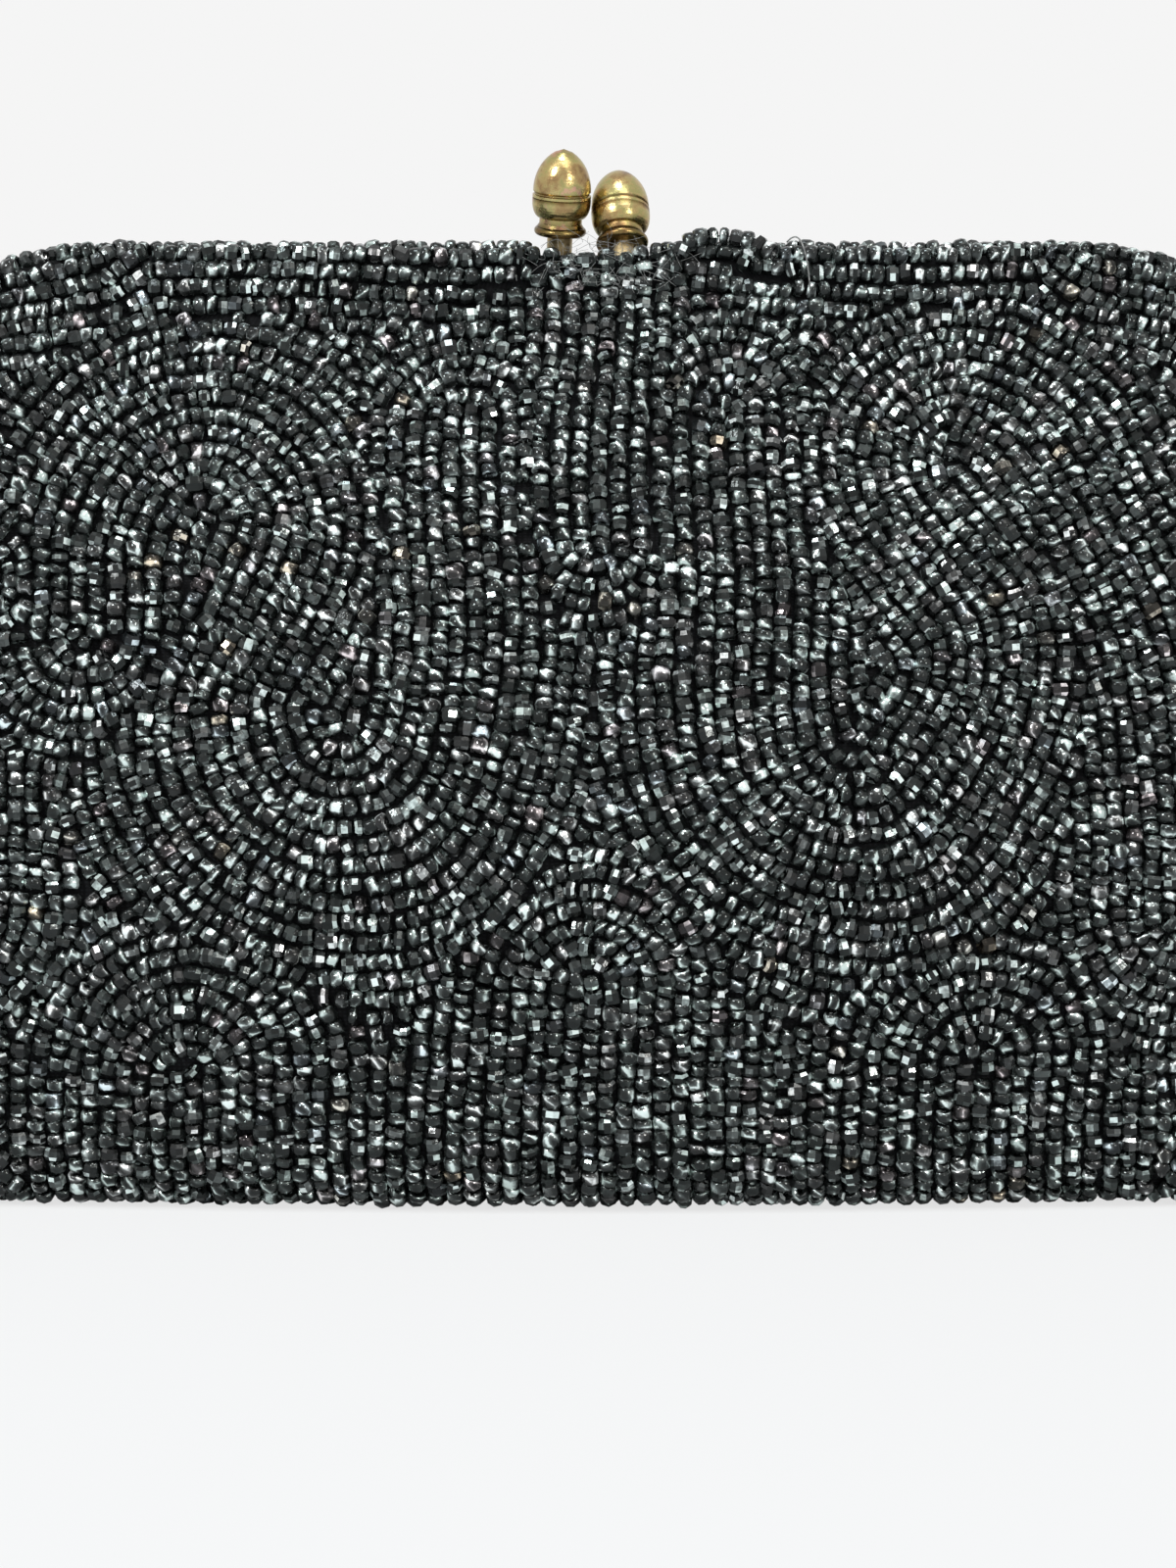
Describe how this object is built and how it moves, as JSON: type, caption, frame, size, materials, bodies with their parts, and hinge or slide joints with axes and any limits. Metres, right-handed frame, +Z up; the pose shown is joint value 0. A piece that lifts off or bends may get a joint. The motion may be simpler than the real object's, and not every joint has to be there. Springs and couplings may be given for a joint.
{
  "type": "kiss lock frame purse",
  "caption": "Beaded clutch bag on a concealed hinged metal frame, shut by two acorn-shaped kiss lock knobs that pass each other at the top.",
  "frame": {"origin": "middle of the flat base, on the surface that the bag stands on", "axes": "+X along the width of the bag, -Y out of the front, +Z up"},
  "size_m": [0.212, 0.0438, 0.1317],
  "materials": {
    "beads_front": "dark lustre seed beads sewn on cloth",
    "beads_back": "dark lustre seed beads sewn on cloth",
    "wadding": "soft cotton wadding",
    "lining": "satin",
    "frame_steel": "dull plated",
    "pin_brass": "aged",
    "arm_brass": "aged",
    "knob_brass": "aged, rubbed"
  },
  "bodies": {
    "bag": {"back_cover": "beads_back", "front_cover": "beads_front", "back_wadding": "wadding", "front_wadding": "wadding", "back_lining": "lining", "front_lining": "lining", "lining_pocket": "lining", "back_frame_rail": "frame_steel", "left_hinge_pin": "pin_brass", "right_hinge_pin": "pin_brass", "back_lock_arm": "arm_brass", "back_arm_rivets": "pin_brass", "back_knob_collar": "knob_brass", "back_knob_cup": "knob_brass", "back_knob_dome": "knob_brass"},
    "front_frame": {"front_cover_rim": "beads_front", "front_lining_rim": "lining", "front_frame_rail": "frame_steel", "front_lock_arm": "arm_brass", "front_arm_rivets": "pin_brass", "front_knob_collar": "knob_brass", "front_knob_cup": "knob_brass", "front_knob_dome": "knob_brass"}
  },
  "joints": [
    {"name": "frame_open", "type": "hinge", "parent": "bag", "child": "front_frame", "pos_m": [0, 0, 0.0781], "axis": [1, 0, 0], "range_deg": [0, 60]}
  ]
}
